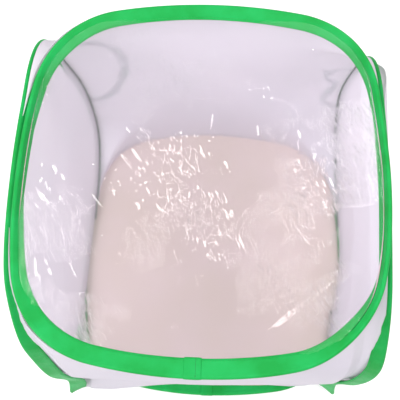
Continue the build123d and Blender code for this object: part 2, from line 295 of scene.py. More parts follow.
def drop_section(reach, puckers):
    """Loops of the drop: the stitched edge, one face, the round over the hoop, the other
    face. reach is how far the edge is from the hoop, and puckers swell the faces."""
    share = np.array([1.0, 0.86, 0.7, 0.52, 0.34, 0.16])
    bend = np.radians(np.linspace(90, 270, 9))
    a_face = reach[:, None] * share
    swell = 1 + puckers[:, None] * np.sin(np.pi * share) * 0.35
    top = np.stack([a_face, half_thick(share) * swell], -1)
    arc = HOOP_ROOM * np.stack([np.cos(bend), np.sin(bend)], -1)
    arc = np.broadcast_to(arc, (len(reach), len(bend), 2))
    bottom = np.stack([a_face, -half_thick(share) * (2 - swell)], -1)[:, ::-1]
    edge = np.stack([reach + EDGE_ROUND, 0 * reach], -1)[:, None]
    return np.concatenate([top, arc, bottom, edge], 1)


def edge_wander(seed):
    """How far the stitched edge wanders in and out, at each step round the ring."""
    return 0.5 * ripple(t_ring, 12, seed + 10, 4, 22)


t_ring = np.arange(STEPS) / STEPS
corner_pull = np.cos(4 * np.pi * (t_ring * 2 - 0.25)) * 0.5 + 0.5
bindings = {}
for seed, face in enumerate(("floor", "window", "left", "right")):
    place, down, square = rolled(face, t_ring)
    puckers = ripple(t_ring, 30, seed, 14, 130) * (1.1 + 1.6 * corner_pull)
    reach = around(t_ring, TAPE_WIDTH[face]) - HOOP_INSET + edge_wander(seed)
    bindings[face] = swept(f"{face}_binding_tape", place, down, square, drop_section(reach, puckers),
                           flip=face in FLIPPED)
    print(face, "binding:", len(bindings[face].data.polygons), "faces")

# %% [markdown]
# Inside each tape runs a flat strip of spring steel, and a crimped sleeve joins its two
# ends. They can't be seen in a whole cage, but they belong in the model, and they follow
# the strayed ring as the tape does.
# %% Hoops and crimped sleeves
HOOP_WIDTH, HOOP_DEPTH, HOOP_GAP = 1.0, 3.6, 1.0
SLEEVE_HALF, SLEEVE_STEPS = 14.0, 15
SLEEVE_A, SLEEVE_B = 1.0, 2.25
hoops, sleeves = {}, {}
box_corners = np.array([[-1, -1], [1, -1], [1, 1], [-1, 1]]) / 2
turn = np.linspace(0, 2 * np.pi, 16, endpoint=False)
pinch = 1 - 0.13 * np.cos(np.linspace(-3, 3, SLEEVE_STEPS) * np.pi)[:, None]
sleeve = np.stack([SLEEVE_A * pinch * squarish(np.cos(turn), 0.6),
                   SLEEVE_B * pinch**0.3 * squarish(np.sin(turn), 0.6)], -1)
for face in bindings:
    gap = HOOP_GAP / 2 / perimeter
    t = np.linspace(gap, 1 - gap, 400)
    place, inward, out = ring(face, t)
    strip = np.broadcast_to(box_corners * (HOOP_WIDTH, HOOP_DEPTH), (len(t), 4, 2))
    hoops[face] = swept(f"{face}_hoop_strip", place, inward, out, strip, False, face in FLIPPED)
    t = np.linspace(-SLEEVE_HALF, SLEEVE_HALF, SLEEVE_STEPS) / perimeter
    place, inward, out = ring(face, t)
    sleeves[face] = swept(f"{face}_hoop_crimp", place, inward, out, sleeve, False, face in FLIPPED)
print("Hoops and sleeves:", len(hoops), len(sleeves))

# %% [markdown]
# The side and floor cloths reach the hoop line and lie on the inner face of the tape, as
# a panel does that is sewn in from the inside. Each is a disc of rings round a middle
# point, so its edge follows the strayed hoop exactly, and it swells a little between the
# hoops, with slack folds that run in from the corners.
# %% Face sheets
RADIALS, SHEET_RINGS = 480, 90
CLOTH_DROP = 3.2  # how far inside the hoop's plane the cloth lies
CLOTH_THICK, FILM_THICK = 0.6, 0.25
FLOOR_BULGE, SIDE_BULGE = 1.0, 5.0


def spoke_grid(face, inset, lift, rings):
    """Points of a sheet: on each spoke, a share s of the way from the middle to the edge.
    The edge lies this far inside the face's plane; the middle takes the mean stray."""
    t = np.arange(RADIALS) / RADIALS
    edge, _, out = ring(face, t, inset if np.isscalar(inset) else around(t, inset)[:, None])
    edge = edge - lift * out
    origin = np.asarray(AXES[face][0]) - lift * AXES[face][3] + np.mean(STRAY[face], 0)
    s = np.linspace(0, 1, rings + 1)[1:]
    return origin, origin + s[:, None, None] * (edge - origin), s, t


def spoke_object(name, origin, points, flip):
    """Rings of quads with a fan of triangles round the middle point."""
    rings, spokes = points.shape[:2]
    quads = grid_faces(rings, spokes, False, True)
    k = np.arange(spokes)
    fan = np.stack([np.full(spokes, rings * spokes), k, (k + 1) % spokes], 1)
    if not flip:
        quads, fan = quads[:, ::-1], fan[:, ::-1]
    flat = np.concatenate([points.reshape(-1, 3), [origin]])
    spread = np.argsort(np.ptp(flat, 0))[1:]
    plan = flat[:, sorted(spread)]
    faces = fan.tolist() + quads.tolist()
    uv = np.concatenate([plan[f] for f in faces])
    return mesh_object(name, flat, faces, uv)


def thicken(piece, thickness):
    """A real thickness for a sheet, grown evenly to both sides."""
    solid = piece.modifiers.new("Thickness", "SOLIDIFY")
    solid.thickness = thickness * MM
    solid.offset = 0
    return piece


def apply_modifiers(piece):
    """Work a piece's modifiers into its mesh."""
    mesh = bpy.data.meshes.new_from_object(piece.evaluated_get(bpy.context.evaluated_depsgraph_get()))
    piece.modifiers.clear()
    piece.data = mesh


def cloth_slack(plan, seed, size):
    """Broad, shallow swells of loose cloth: a sum of slow waves over the plane."""
    rng = np.random.default_rng(seed)
    total = 0
    for _ in range(9):
        heading = rng.uniform(0, 2 * np.pi)
        length = rng.uniform(90, 260)
        wave = (plan[..., 0] * np.cos(heading) + plan[..., 1] * np.sin(heading)) / length
        total = total + np.sin(2 * np.pi * wave + rng.uniform(0, 2 * np.pi)) * length / 260
    return size * total / 3


# At the front the floor's cloth ends on the end cloth's hem, and the tape is bare outside it.
FLOOR_INSET = [16.0, 12.0] + [HOOP_INSET] * 13 + [12.0]
sheets = {}
for face, seed, bulge, slack_size, inset in (("floor", 3, FLOOR_BULGE, 0.9, FLOOR_INSET),
                                             ("left", 4, SIDE_BULGE, 2.2, HOOP_INSET)):
    origin, points, s, t = spoke_grid(face, inset, CLOTH_DROP, SHEET_RINGS)
    across, up, out = AXES[face][1:]
    plan = np.stack([(points - origin) @ across, (points - origin) @ up], -1)
    bowl = bulge * (1 - s[:, None] ** 2)
    lift = (1 - s[:, None] ** 6) * (cloth_slack(plan, seed, slack_size) - bowl)
    points = points - lift[..., None] * out
    sheets[face] = thicken(spoke_object(f"{face}_cloth", origin, points, face == "floor"), CLOTH_THICK)
print("Cloth faces:", {face: len(piece.data.polygons) for face, piece in sheets.items()})

# %% [markdown]
# The right side has the zip in it, so its cloth needs a slot. It stays true to the CAD
# plane there: the grid is pulled flat near the zip, and the slot is cut with a Boolean
# after the sheet has its thickness, as scissors would.
# %% Right side with the zip slot
ZIP_LEVEL = 351.3
SLOT_START, SLOT_END, SLOT_HALF, SLOT_STEPS = -124.9, 129.7, 6.5, 48
FLAT_HALF_Y, FLAT_HALF_Z = 134, 16  # the part of the sheet that stays on its plane
FADE_Y, FADE_Z = 22, 26
origin, points, s, t = spoke_grid("right", HOOP_INSET, CLOTH_DROP, SHEET_RINGS)
plan = np.stack([points[..., 1], points[..., 2]], -1)
past_y = np.maximum(np.abs(plan[..., 0]) - FLAT_HALF_Y, 0) / FADE_Y
past_z = np.maximum(np.abs(plan[..., 1] - ZIP_LEVEL) - FLAT_HALF_Z, 0) / FADE_Z
near_zip = np.clip(1.6 - np.hypot(past_y, past_z), 0, 1)
near_zip = near_zip * near_zip * (3 - 2 * near_zip)
slack = (1 - s[:, None] ** 6) * (cloth_slack(plan, 8, 2.2) - SIDE_BULGE * (1 - s[:, None] ** 2))
level = points[..., 0] - slack
points[..., 0] = level + (HALF - level) * near_zip
origin[0] = origin[0] + SIDE_BULGE
right_cloth = sheets["right"] = thicken(spoke_object("right_cloth", origin, points, True), CLOTH_THICK)

slot_turn = np.linspace(0, 2 * np.pi, SLOT_STEPS, endpoint=False)
slot_y = np.where(np.cos(slot_turn) > 0, SLOT_END - SLOT_HALF, SLOT_START + SLOT_HALF)
slot_y = slot_y + SLOT_HALF * np.cos(slot_turn)
slot_z = ZIP_LEVEL + SLOT_HALF * np.sin(slot_turn)
slot_points = np.stack([np.stack([np.full(SLOT_STEPS, x), slot_y, slot_z], -1) for x in (190, 205)])
cutter = grid_object("slot_cutter", slot_points, wrap_columns=True, caps=True)
apply_modifiers(right_cloth)
slot_cut = right_cloth.modifiers.new("Slot", "BOOLEAN")
slot_cut.object, slot_cut.operation, slot_cut.solver = cutter, "DIFFERENCE", "EXACT"
apply_modifiers(right_cloth)
bpy.data.objects.remove(cutter)
print("Right cloth after the slot:", len(right_cloth.data.polygons), "faces")

# %% [markdown]
# The window is a soft clear film that was folded when the cage was packed. It lies nearly
# flat, with nests of short crumples, which mostly run from the left rear to the right
# front, and a few long pulls at the front corners.
# %% Clear film
FILM_INSET, FILM_RINGS = 9.0, 100


def crease(plan, start, end, width, height):
    """One soft ridge along a straight line, which fades out towards both ends."""
    start, end = np.asarray(start, float), np.asarray(end, float)
    run = end - start
    length = np.linalg.norm(run)
    heading = run / length
    rel = plan - start
    along = (rel @ heading) / length
    off = rel[..., 0] * heading[1] - rel[..., 1] * heading[0]
    fade = np.clip(np.minimum(along, 1 - along) * 4, 0, 1)
    return height * fade * np.exp(-((off / width) ** 2))


origin, points, s, t = spoke_grid("window", FILM_INSET, 0.0, FILM_RINGS)
plan = points[..., :2]
rng = np.random.default_rng(21)
relief = cloth_slack(plan, 5, 0.35)
# Nests: middle, reach in x and y, count of crumples, their heading and its spread in degrees.
NESTS = [((-38, 8), (46, 46), 170, -66, 12), ((8, -50), (44, 40), 80, -62, 14),
         ((112, -18), (20, 50), 110, -66, 25), ((162, 4), (16, 16), 22, -20, 18),
         ((-165, -25), (14, 40), 26, -62, 14), ((-145, -60), (26, 70), 34, -68, 16),
         ((102, 150), (24, 22), 18, -55, 25), ((72, 99), (30, 12), 12, -12, 20),
         ((150, 140), (14, 14), 10, -40, 30), ((-104, 135), (26, 26), 16, -40, 40),
         ((60, 180), (50, 5), 14, -70, 15), ((0, 20), (160, 130), 60, -60, 35),
         ((92, -150), (40, 30), 26, 40, 10), ((-60, -155), (50, 16), 12, 15, 18)]
for (cx, cy), (sx, sy), count, heading, spread in NESTS:
    for _ in range(count):
        x, y = cx + sx * rng.normal() * 0.6, cy + sy * rng.normal() * 0.6
        angle = math.radians(heading + spread * rng.normal())
        half = rng.uniform(4, 17)
        dx, dy = half * math.cos(angle), half * math.sin(angle)
        relief = relief + crease(plan, (x - dx, y - dy), (x + dx, y + dy),
                                 rng.uniform(1.3, 2.6), rng.uniform(0.3, 1.0) * rng.choice([-1, 1]))
# Pulls: start, end, width and height.
PULLS = [((42, -176), (150, -92), 3.0, 1.5), ((60, -178), (158, -88), 2.6, -1.2),
         ((88, -172), (150, -118), 2.4, 1.1), ((-120, -132), (-30, -150), 5.0, 1.3),
         ((-112, -112), (-20, -140), 4.0, -1.1), ((-130, -150), (-60, -160), 4.0, 1.0),
         ((30, -150), (96, -104), 2.4, 0.9)]
for start, end, width, height in PULLS:
    relief = relief + crease(plan, start, end, width, height)
points[..., 2] += (1 - s[:, None] ** 10) * relief
film = thicken(spoke_object("window_film_sheet", origin, points, False), FILM_THICK)
print("Film relief in mm:", round(float(np.ptp(relief)), 2))

# %% [markdown]
# Plain cloth closes the front and the rear. Where four hoop faces with round corners
# meet, the cloth has to span from the top and floor hoops to the side hoops. Its depth at
# any place is the larger of the two outlines, blended softly where they meet, and that
# leaves the fold that runs into each corner. The cut is a square that reaches round the
# corners, so its flat size is more than the face's.
# %% Front and rear cloth
HINGE_SHARE = 60 / perimeter  # half the straight edge that two faces share, as a share of t
END_INSET = 3.6
SPAN = 170
EDGE_X, EDGE_Z = 196.7, 199.6  # where the cloth's edges lie, from the middle of the cage
CORNER_SOFT = 8.0
END_SLACK = 3.0


def soft_larger(a, b, softness):
    """The larger of two depths, rounded where they differ by less than the softness."""
    share = np.clip(0.5 + 0.5 * (a - b) / softness, 0, 1)
    return b + (a - b) * share + softness * share * (1 - share)


def end_cloth(end, hem):
    """Grid over the span from left to right and from floor to window. The strays of the
    four rings are blended over it, so its edges go where the hoops went."""
    share = (1 - np.cos(np.linspace(0, np.pi, SPAN))) / 2 * 0.35 + np.linspace(0, 1, SPAN) * 0.65
    run = end * (HINGE_SHARE + (0.5 - 2 * HINGE_SHARE) * share)
    t_top, t_side = 0.75 - run, np.mod(run, 1.0)
    flat, normal = outline(t_top)
    flat = flat - END_INSET * normal
    side, side_normal = outline(t_side)
    side = side - END_INSET * side_normal
    x, depth_top = flat[:, 0] * EDGE_X / abs(flat[0, 0]), np.abs(flat[:, 1])
    z, depth_side = SIDE_MIDDLE + side[:, 1] * EDGE_Z / abs(side[0, 1]), np.abs(side[:, 0])
    depth = soft_larger(depth_top[:, None], depth_side[None, :], CORNER_SOFT)
    grid = np.stack(np.broadcast_arrays(x[:, None], end * depth, z[None, :]), -1)
    w = np.clip((grid[..., 2:] - SIDE_BASE) / (2 * HALF), 0, 1)
    q = np.clip((grid[..., :1] + HALF) / (2 * HALF), 0, 1)
    top, floor = around(t_top, STRAY["window"]), around(t_top, STRAY["floor"])
    left, right = around(t_side, STRAY["left"]), around(t_side, STRAY["right"])
    flat_way = (1 - w) * floor[:, None] + w * top[:, None]
    left_end = left[None] - ((1 - w) * floor[0] + w * top[0])
    right_end = right[None] - ((1 - w) * floor[-1] + w * top[-1])
    grid = grid + flat_way + (1 - q) ** 3 * left_end + q**3 * right_end
    grid[..., 1] -= end * hem(x[:, None], z[None, :], depth)
    edge = np.minimum(np.minimum(w, 1 - w), np.minimum(q, 1 - q))[..., 0] * 2
    slack = cloth_slack(grid[..., ::2], 30 + end, END_SLACK) * np.clip(edge * 3, 0, 1)
    grid[..., 1] -= end * (slack + END_SLACK * np.clip(edge, 0, 1))
    return grid


HEM_X, HEM_DEPTH = (-200, -90, 0, 130, 196), (176, 176, 173, 168, 157)
HEM_IN, HEM_OUT = 200, 110  # how high the draw inwards and the push outwards reach
TUCK, TUCK_FROM = 5.5, 168


def straight_hem(x, z, depth):
    """How far the front cloth is drawn in from its place. Near the floor its lower edge
    runs straight between two square corners; near the sides it tucks behind their tape."""
    drawn = depth - np.interp(x, HEM_X, HEM_DEPTH)
    wide = np.clip((EDGE_X - np.abs(x)) / 15, 0, 1) ** 0.6
    above = z - SIDE_BASE
    low = np.where(drawn > 0, np.clip(1 - above / HEM_IN, 0, 1),
                   np.clip(1 - above / HEM_OUT, 0, 1) ** 1.3)
    tuck = TUCK * np.clip((np.abs(x) - TUCK_FROM) / 10, 0, 1) * np.clip(above / 40, 0, 1)
    return drawn * wide * low + tuck


def ring_hem(x, z, depth):
    """The rear cloth's lower edge stays on the floor hoop."""
    return 0.0


front_grid = end_cloth(-1, straight_hem)
rear_grid = end_cloth(1, ring_hem)
front_cloth = thicken(grid_object("front_cloth", front_grid), CLOTH_THICK)
rear_cloth = thicken(grid_object("rear_cloth", rear_grid, flip=True), CLOTH_THICK)
for piece, grid in ((front_cloth, front_grid), (rear_cloth, rear_grid)):
    a, b = np.diff(grid, axis=0)[:, :-1], np.diff(grid, axis=1)[:-1]
    area = np.linalg.norm(np.cross(a, b), axis=-1).sum() * MM * MM
    print(piece.name, "area:", round(area, 3), "m2")

# %% [markdown]
# Two loops of the same green tape hang at the rear corners. Their green is painted lighter and bluer than
# the binding's, as painted light that makes up for the shade they sit in behind the rear cloth. The left
# one stands open as a flat C; the right one is crumpled. A strap is a thin flat section carried along a
# smooth line through a few points, and it may turn about that line as it goes.
# %% Strap loops
REAR, STRAP_STEPS = 201.0, 110
STRAP_HALF, CURL = 0.55, 0.35
BACK = (0, 1, 0)


def smooth_line(points, count):
    """A Catmull-Rom curve through given points, and its unit tangents."""
    p = np.asarray(points, float)
    p = np.concatenate([[2 * p[0] - p[1]], p, [2 * p[-1] - p[-2]]])
    place = np.linspace(0, len(p) - 3 - 1e-9, count)
    k = np.floor(place).astype(int)
    f = (place - k)[:, None]
    line = cubic(p[k], p[k + 1], p[k + 2], p[k + 3], f)
    return line, unit(np.gradient(line, axis=0))


def strap(name, points, width, facing):
    """A flat tape along the line; its points are x, the distance behind the rear, and z.
    facing gives the way its flat face looks at each point."""
    line, tangent = smooth_line(np.add(points, (0, REAR, 0)), STRAP_STEPS)
    wide = unit(np.cross(smooth_line(facing, STRAP_STEPS)[0], tangent))
    thin = np.cross(tangent, wide)
    turn = np.linspace(0, 2 * np.pi, 20, endpoint=False)
    loop = np.stack([width / 2 * squarish(np.cos(turn), 0.35),
                     STRAP_HALF * squarish(np.sin(turn), 0.7)], -1)
    section = np.broadcast_to(loop, (STRAP_STEPS, *loop.shape)).copy()
    curl = CURL * np.sin(np.linspace(0, 40, STRAP_STEPS))[:, None]
    section[..., 1] += curl * (np.abs(loop[:, 0]) / width * 2) ** 2
    return swept(name, line, wide, thin, section, closed=False)


left_strap = strap(
    "left_strap_loop",
    [(-178, 0, 310), (-160, 2, 312), (-138, 2, 314), (-120, 2, 304), (-112, 2, 276),
     (-114, 2, 242), (-122, 2, 206), (-134, 2, 176), (-152, 2, 152), (-178, 0, 146)],
    11.0, [BACK, BACK, (0.1, 1, 0), BACK, (-0.2, 1, 0.1), BACK, (0.1, 1, 0), BACK, BACK, BACK])
right_strap = strap(
    "right_strap_loop",
    [(180, 0, 262), (172, 3, 258), (160, 4, 252), (150, 5, 242), (153, 4, 226),
     (164, 5, 212), (160, 6, 190), (152, 4, 168), (160, 3, 150), (181, 0, 142)],
    10.0, [BACK, (0, 1, 0.2), (0.3, 1, 0.5), (0.8, 0.7, 0.2), (0.5, 0.9, -0.2),
           (-0.3, 1, 0.2), (0.3, 1, 0.1), (0.6, 0.8, 0), (0, 1, -0.3), BACK])
print("Strap faces:", len(left_strap.data.polygons), len(right_strap.data.polygons))

# %% [markdown]
# Thread gives the scale away up close. Each binding has a row of stitches near its inner
# edge on both faces: little rounded bars of sixteen corners, one mesh for each row. The
# tape's end is laid over its start, with a bar of darker thread: at the front middle on the
# window and the floor, and at the rear on the sides.
# %% Stitches and laps
STITCH_LENGTH, STITCH_PITCH, STITCH_RADIUS = 2.6, 3.6, 0.22
BAR = np.array([(x, y, z) for x in (-1, -0.6, 0.6, 1) for y, z in ((1, 0), (0, 1), (-1, 0), (0, -1))])
BAR[[0, 1, 2, 3, 12, 13, 14, 15], 1:] *= 0.35
BAR_FACES = np.concatenate([grid_faces(4, 4, False, True), [[3, 2, 1, 0], [12, 13, 14, 15]]])


def stitches(name, place, along, side, lift):
    """Copies of one bar at many places, each turned to its own three directions."""
    scale = np.array([STITCH_LENGTH / 2, STITCH_RADIUS, STITCH_RADIUS])
    local = BAR * scale
    points = (place[:, None] + local[None, :, :1] * along[:, None]
              + local[None, :, 1:2] * side[:, None] + local[None, :, 2:] * lift[:, None])
    faces = (BAR_FACES[None] + 16 * np.arange(len(place))[:, None, None]).reshape(-1, 4)
    return mesh_object(name, points.reshape(-1, 3), faces.tolist())


SEAM_IN, THREAD_PROUD = 2.0, 0.12  # the seam's distance from the tape's edge; its rise
threads = {}
for seed, face in enumerate(bindings):
    count = int(perimeter / STITCH_PITCH)
    t = np.arange(count) / count
    place, down, square = rolled(face, t)
    wander = np.interp(t, t_ring, edge_wander(seed), period=1)
    reach = around(t, TAPE_WIDTH[face]) - HOOP_INSET + wander - SEAM_IN
    along = unit(np.roll(place, -1, 0) - np.roll(place, 1, 0))
    seam = place + reach[:, None] * down
    both = [seam + sign * (LIP + THREAD_PROUD) * square for sign in (1, -1)]
    twice = (np.tile(way, (2, 1)) for way in (along, down, square))
    threads[face] = stitches(f"{face}_binding_stitches", np.concatenate(both), *twice)

LAP_HALF, LAP_STEPS, LAP_RISE = 9, 19, 0.55
LAP_SEAM, LAP_STITCHES = 12, 7  # the step that the dark seam is on, and its stitches
laps = {}
for face, middle in (("window", 0.0), ("floor", 0.004), ("left", 0.25), ("right", 0.25)):
    t = middle + np.linspace(-LAP_HALF, LAP_HALF, LAP_STEPS) / perimeter
    place, down, square = rolled(face, t)
    reach = around(t, TAPE_WIDTH[face]) - HOOP_INSET + 0.5
    lift = LAP_RISE - 0.4 * np.abs(np.linspace(-1, 1, LAP_STEPS)) ** 6
    section = drop_section(reach, 0 * t)
    section = section + lift[:, None, None] * np.sign(section) * (np.abs(section) > 0.3)
    laps[face] = swept(f"{face}_binding_lap", place, down, square, section, False, face in FLIPPED)
    share = np.linspace(0.0, 0.95, LAP_STITCHES)[:, None]
    k = LAP_SEAM
    row = place[k] + share * reach[k] * down[k] + (LAP_RISE + half_thick(share)) * square[k]
    ways = (down[k], unit(place[k + 1] - place[k - 1]), square[k])
    ways = (np.tile(way, (LAP_STITCHES, 1)) for way in ways)
    threads[face + "_lap"] = stitches(f"{face}_lap_stitches", row, *ways)
print("Stitches:", sum(len(row.data.polygons) for row in threads.values()) // len(BAR_FACES))

# %% [markdown]
# Where an end cloth meets a side, both edges are sewn together and stand into the cage as a narrow fin,
# which shows through the window as a soft grey line with a few pale threads. The fin's grey is partly
# painted shade of the fold along the seam and partly grey overlock thread.
# %% Corner seams
FIN = np.array([[-1.2, -0.5], [3.6, -0.35], [4.2, 0.0], [3.6, 0.35], [-1.2, 0.5]])
FIN_STEPS, TICK_RISE = 160, 2.2
TICKS = slice(4, -4, 5)
corner_seams = {}
for face in ("left", "right"):
    for end, first in (("rear", HINGE_SHARE), ("front", 0.5 + HINGE_SHARE)):
        t = np.linspace(first, first + 0.5 - 2 * HINGE_SHARE, FIN_STEPS)
        place, inward, out = ring(face, t)
        place = place - CLOTH_DROP * out
        wave = 1 + 0.18 * ripple(t, 9, 70, 20, 90)[:, None]
        section = np.broadcast_to(FIN, (FIN_STEPS, *FIN.shape)) * wave[..., None]
        fin, thin = (inward - out) / math.sqrt(2), (inward + out) / math.sqrt(2)
        corner_seams[face, end] = swept(
            f"{face}_{end}_corner_seam", place, fin, thin, section, False, face == "right")
        along = unit(np.gradient(place, axis=0))
        ticks = (row[TICKS] for row in (place + TICK_RISE * fin, fin, along, np.cross(fin, along)))
        corner_seams[face, end, "thread"] = stitches(f"{face}_{end}_seam_thread", *ticks)
print("Corner seams:", len(corner_seams) // 2)

# %% [markdown]
# Finishes are built from nodes. A small helper places a node and sets or links its
# sockets, so that each material below reads as a list of what feeds what. Effects that
# several finishes share are node groups with named inputs and outputs. Which rays see a
# colour is told by the Light Path node, which stays in the material itself.
# %% Shader helpers and shared groups
def feed(tree, node, sockets):
    """Set or link inputs: sockets maps an input's name or number to a value or output."""
    for key, value in sockets.items():
        if isinstance(value, bpy.types.NodeSocket):
            tree.links.new(value, node.inputs[key])
        else:
            node.inputs[key].default_value = value


def place_node(tree, kind, sockets=None, **settings):
    """A shader node of this kind, with its settings made and its inputs fed."""
    made = tree.nodes.new("ShaderNode" + kind)
    for key, value in settings.items():
        setattr(made, key, value)
    feed(tree, made, sockets or {})
    return made


def shader_group(name, inputs, outputs):
    """An empty group with these sockets: name, socket type and start value."""
    tree = bpy.data.node_groups.new(name, "ShaderNodeTree")
    for label, kind, value in inputs:
        socket = tree.interface.new_socket(label, in_out="INPUT", socket_type=kind)
        if value is not None:
            socket.default_value = value
    for label, kind in outputs:
        tree.interface.new_socket(label, in_out="OUTPUT", socket_type=kind)
    return tree, tree.nodes.new("NodeGroupInput"), tree.nodes.new("NodeGroupOutput")


def maths(tree, operation, *values):
    """One Math node's result."""
    return place_node(tree, "Math", dict(enumerate(values)), operation=operation).outputs[0]


def on_rays(tree, *kinds):
    """One on rays of these kinds and nought on others: the largest of their outputs."""
    ray = tree.nodes.new("ShaderNodeLightPath")
    result = ray.outputs[f"Is {kinds[0]} Ray"]
    for kind in kinds[1:]:
        result = maths(tree, "MAXIMUM", result, ray.outputs[f"Is {kind} Ray"])
    return result


VECTOR, FLOAT = "NodeSocketVector", "NodeSocketFloat"

weave, weave_in, weave_out = shader_group(
    "plain_weave", [("Vector", VECTOR, None), ("Pitch", FLOAT, 0.0006), ("Slub", FLOAT, 0.3)],
    [("Height", FLOAT), ("Thread", FLOAT)])
parts = place_node(weave, "SeparateXYZ", {0: weave_in.outputs["Vector"]})
waves = []
for axis in (0, 1):
    turns = maths(weave, "DIVIDE", parts.outputs[axis], weave_in.outputs["Pitch"])
    waves.append(maths(weave, "SINE", maths(weave, "MULTIPLY", turns, 2 * math.pi)))
crossing = maths(weave, "MULTIPLY", waves[0], waves[1])
slub_place = place_node(weave, "VectorMath",
                        {0: weave_in.outputs["Vector"], 1: (90.0, 900.0, 400.0)}, operation="MULTIPLY")
slub = place_node(weave, "TexNoise", {"Vector": slub_place.outputs[0], "Scale": 1.0, "Detail": 2.0})
uneven = maths(weave, "MULTIPLY", maths(weave, "SUBTRACT", slub.outputs["Fac"], 0.5),
               weave_in.outputs["Slub"])
feed(weave, weave_out, {"Height": maths(weave, "ADD", crossing, uneven),
                        "Thread": maths(weave, "ADD", uneven, 0.5)})

mottle, mottle_in, mottle_out = shader_group(
    "mottle", [("Vector", VECTOR, None), ("Scale", FLOAT, 12.0),
               ("Low", FLOAT, 0.35), ("High", FLOAT, 0.65)],
    [("Mask", FLOAT)])
cloud = place_node(mottle, "TexNoise", {"Vector": mottle_in.outputs["Vector"],
                   "Scale": mottle_in.outputs["Scale"], "Detail": 4.0, "Roughness": 0.55})
ranged = place_node(mottle, "MapRange", {"Value": cloud.outputs["Fac"],
                    "From Min": mottle_in.outputs["Low"], "From Max": mottle_in.outputs["High"]})
feed(mottle, mottle_out, {"Mask": ranged.outputs[0]})


def new_material(name):
    """A material, its node tree, its Principled shader and its coordinates."""
    made = bpy.data.materials.new(name)
    made.use_nodes = True
    tree = made.node_tree
    tree.nodes.clear()
    shader = tree.nodes.new("ShaderNodeBsdfPrincipled")
    output = tree.nodes.new("ShaderNodeOutputMaterial")
    tree.links.new(shader.outputs[0], output.inputs[0])
    places = tree.nodes.new("ShaderNodeTexCoord")
    return made, tree, shader, places


def use_group(tree, group, **sockets):
    """A group node with its inputs set or linked; names are given with underscores."""
    sockets = {key.replace("_", " "): value for key, value in sockets.items()}
    return place_node(tree, "Group", sockets, node_tree=group)


def mix_colors(tree, factor, first, second):
    """A blend of two colours, each a value or an output."""
    sockets = {0: factor, 6: first, 7: second}
    return place_node(tree, "Mix", sockets, data_type="RGBA").outputs[2]


def rough_range(tree, shader, mask, low, high):
    """Roughness that runs from low to high as the mask does from nought to one."""
    made = place_node(tree, "MapRange", {"Value": mask, "To Min": low, "To Max": high})
    feed(tree, shader, {"Roughness": made.outputs[0]})


def bump(tree, shader, height, strength, distance):
    """A Bump node between a height and the shader's Normal."""
    made = place_node(tree, "Bump", {"Strength": strength, "Distance": distance, "Height": height})
    feed(tree, shader, {"Normal": made.outputs[0]})


print("Shared groups:", weave.name, mottle.name)

# %% [markdown]
# Tape and cloth differ in colour, thread and gloss but are made the same way, so one
# function makes them all: two colours mixed by a mottle, threads that show in bump, and
# for the thin cloth an alpha below one, because colours behind it show through faintly.
# Rays that carry light meet a lower alpha, so that the cage is as bright inside as outside.
# %% Tape and cloth
def woven_material(name, light, deep, pitch, mottle_scale, roughness, sheen, strength=0.35,
                   slub=0.5, on_object=False, alpha=1.0, thread_tone=0.12, lit_through=1.0):
    """Colour = a mottle's blend of light and deep, darkened by the threads; alpha for
    light-carrying rays = lit_through. pitch is the distance between threads in metres."""
    made, tree, shader, places = new_material(name)
    vector = places.outputs["Object" if on_object else "UV"]
    blotch = use_group(tree, mottle, Vector=places.outputs["Object"], Scale=mottle_scale)
    threads_node = use_group(tree, weave, Vector=vector, Pitch=pitch, Slub=slub)
    base = mix_colors(tree, blotch.outputs["Mask"], (*light, 1), (*deep, 1))
    tone = maths(tree, "MULTIPLY", threads_node.outputs["Thread"], thread_tone)
    darker = mix_colors(tree, tone, base, (*[0.55 * c for c in deep], 1))
    rough_range(tree, shader, blotch.outputs["Mask"], roughness - 0.06, roughness + 0.08)
    feed(tree, shader, {"Base Color": darker, "Sheen Weight": sheen, "Sheen Roughness": 0.4,
                        "Specular IOR Level": 0.25, "Alpha": alpha})
    if lit_through < 1:
        drop = maths(tree, "MULTIPLY", on_rays(tree, "Shadow", "Diffuse"), alpha - lit_through)
        feed(tree, shader, {"Alpha": maths(tree, "SUBTRACT", alpha, drop)})
    bump(tree, shader, threads_node.outputs["Height"], strength, 0.00012)
    return made


TAPE = dict(roughness=0.55, sheen=0.02)
CLOTH = dict(pitch=0.0005, roughness=0.8, sheen=0.1, strength=0.25, slub=0.4)
WALL = dict(CLOTH, mottle_scale=7.0, thread_tone=0.03, lit_through=0.3)
THREAD = dict(pitch=0.0003, mottle_scale=60.0, roughness=0.5, sheen=0.1, on_object=True)
binding_green = woven_material(
    "binding_tape_green", (0.006, 0.42, 0.09), (0.003, 0.33, 0.05), 0.0007, 22.0, **TAPE)
# The straps' green is painted light: lighter and bluer than the binding's same tape, to make up for their
# shade behind the rear cloth.
strap_green_painted_light = woven_material(
    "strap_tape_green_painted_light", (0.01, 0.50, 0.20), (0.006, 0.42, 0.13), 0.0009, 30.0, **TAPE)
white_cloth = woven_material(
    "white_side_cloth", (0.83, 0.76, 0.87), (0.80, 0.745, 0.85), alpha=0.68, **WALL)
# The front cloth is the same white cloth as the sides and the rear. Its colour is painted darker, as
# painted shade on its outer face.
front_white_painted_shade = woven_material(
    "front_end_cloth_painted_shade", (0.72, 0.68, 0.76), (0.69, 0.65, 0.74), alpha=0.8, **WALL)
floor_cloth = woven_material(
    "floor_cloth_tan", (0.78, 0.65, 0.65), (0.75, 0.63, 0.60), mottle_scale=9.0, alpha=0.95,
    thread_tone=0.05, lit_through=0.8, **CLOTH)
zip_tape_white = woven_material(
    "zip_tape_white", (0.80, 0.78, 0.83), (0.74, 0.72, 0.78), 0.0006, 40.0, 0.75, 0.1, 0.4,
    on_object=True)
